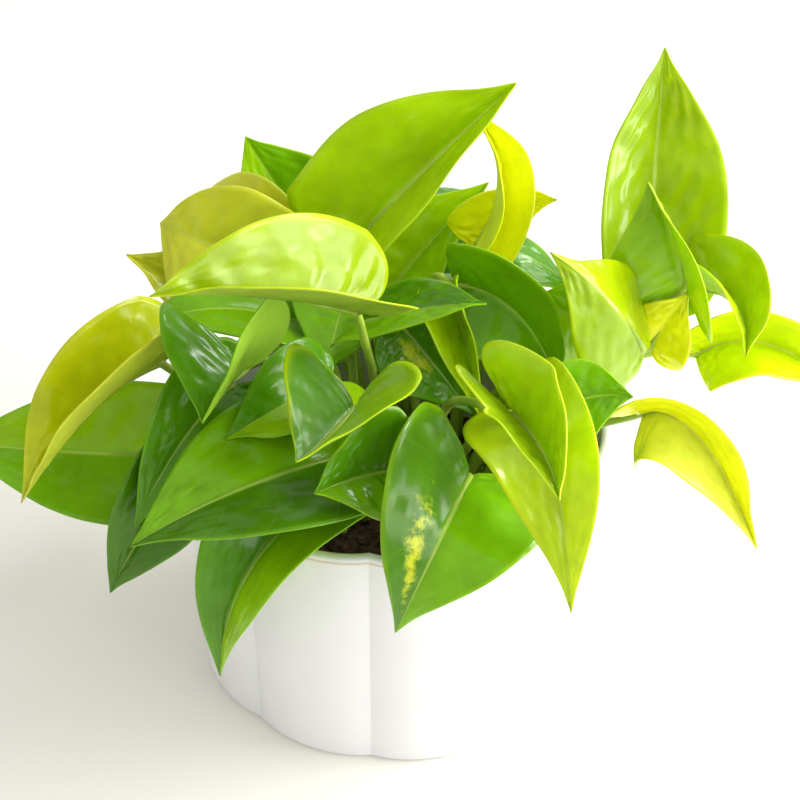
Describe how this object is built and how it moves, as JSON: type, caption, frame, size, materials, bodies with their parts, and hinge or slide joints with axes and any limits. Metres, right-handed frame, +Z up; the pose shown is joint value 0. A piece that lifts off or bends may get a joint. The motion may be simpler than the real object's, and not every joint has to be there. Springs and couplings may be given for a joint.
{
  "type": "potted pothos plant",
  "caption": "Heart-leaved trailing houseplant with lime, yellow and deep green leaves, standing in soil in a white glazed lobed pot.",
  "frame": {"origin": "middle of the pot's flat underside, on the surface that it stands on", "axes": "+Z up along the pot's axis, -Y toward the front that the picture shows, +X to the right seen from the front"},
  "size_m": [0.3123, 0.2193, 0.2011],
  "materials": {
    "glaze": "white gloss glaze",
    "soil": "crumbly dark potting mix",
    "leaf_deep": "waxy living leaf",
    "leaf_green": "waxy living leaf",
    "leaf_bright": "waxy living leaf",
    "leaf_olive": "waxy living leaf",
    "leaf_lime": "waxy living leaf",
    "leaf_yellow": "waxy living leaf"
  },
  "bodies": {
    "root": {"pot": "glaze", "soil": "soil", "leaf_back_left": "leaf_deep", "leaf_top_broad": "leaf_bright", "leaf_top_shaded": "leaf_green", "leaf_yellow_front": "leaf_yellow", "leaf_yellow_back": "leaf_yellow", "leaf_arch_right": "leaf_bright", "leaf_dark_right": "leaf_deep", "leaf_gloss_right": "leaf_green", "leaf_point_right": "leaf_bright", "leaf_speckled": "leaf_deep", "leaf_lime_left": "leaf_lime", "leaf_under_lime": "leaf_green", "leaf_olive_left": "leaf_olive", "leaf_olive_back": "leaf_olive", "leaf_thin_left": "leaf_olive", "leaf_mustard": "leaf_lime", "leaf_far_left": "leaf_green", "leaf_folded_left": "leaf_deep", "leaf_dark_left": "leaf_deep", "leaf_low_left": "leaf_deep", "leaf_gloss_front": "leaf_deep", "leaf_hang_front": "leaf_green", "leaf_cup_lime": "leaf_lime", "leaf_round_veined": "leaf_green", "leaf_dark_inner": "leaf_deep", "leaf_point_front": "leaf_lime", "leaf_heart_front": "leaf_green", "leaf_hang_right": "leaf_yellow", "leaf_fold_right": "leaf_olive", "leaf_lime_arch": "leaf_yellow", "leaf_small_right": "leaf_bright", "leaf_tall_right": "leaf_bright", "leaf_front_of_tall": "leaf_bright", "leaf_lime_far": "leaf_lime", "leaf_yellow_edge": "leaf_yellow", "leaf_small_yellow": "leaf_yellow", "leaf_low_right": "leaf_yellow", "leaf_behind_arch": "leaf_bright", "leaf_back_low_a": "leaf_green", "leaf_back_low_b": "leaf_bright", "leaf_back_low_c": "leaf_green", "leaf_back_high": "leaf_deep", "leaf_back_left_low": "leaf_green", "leaf_back_right": "leaf_bright"}
  },
  "joints": []
}
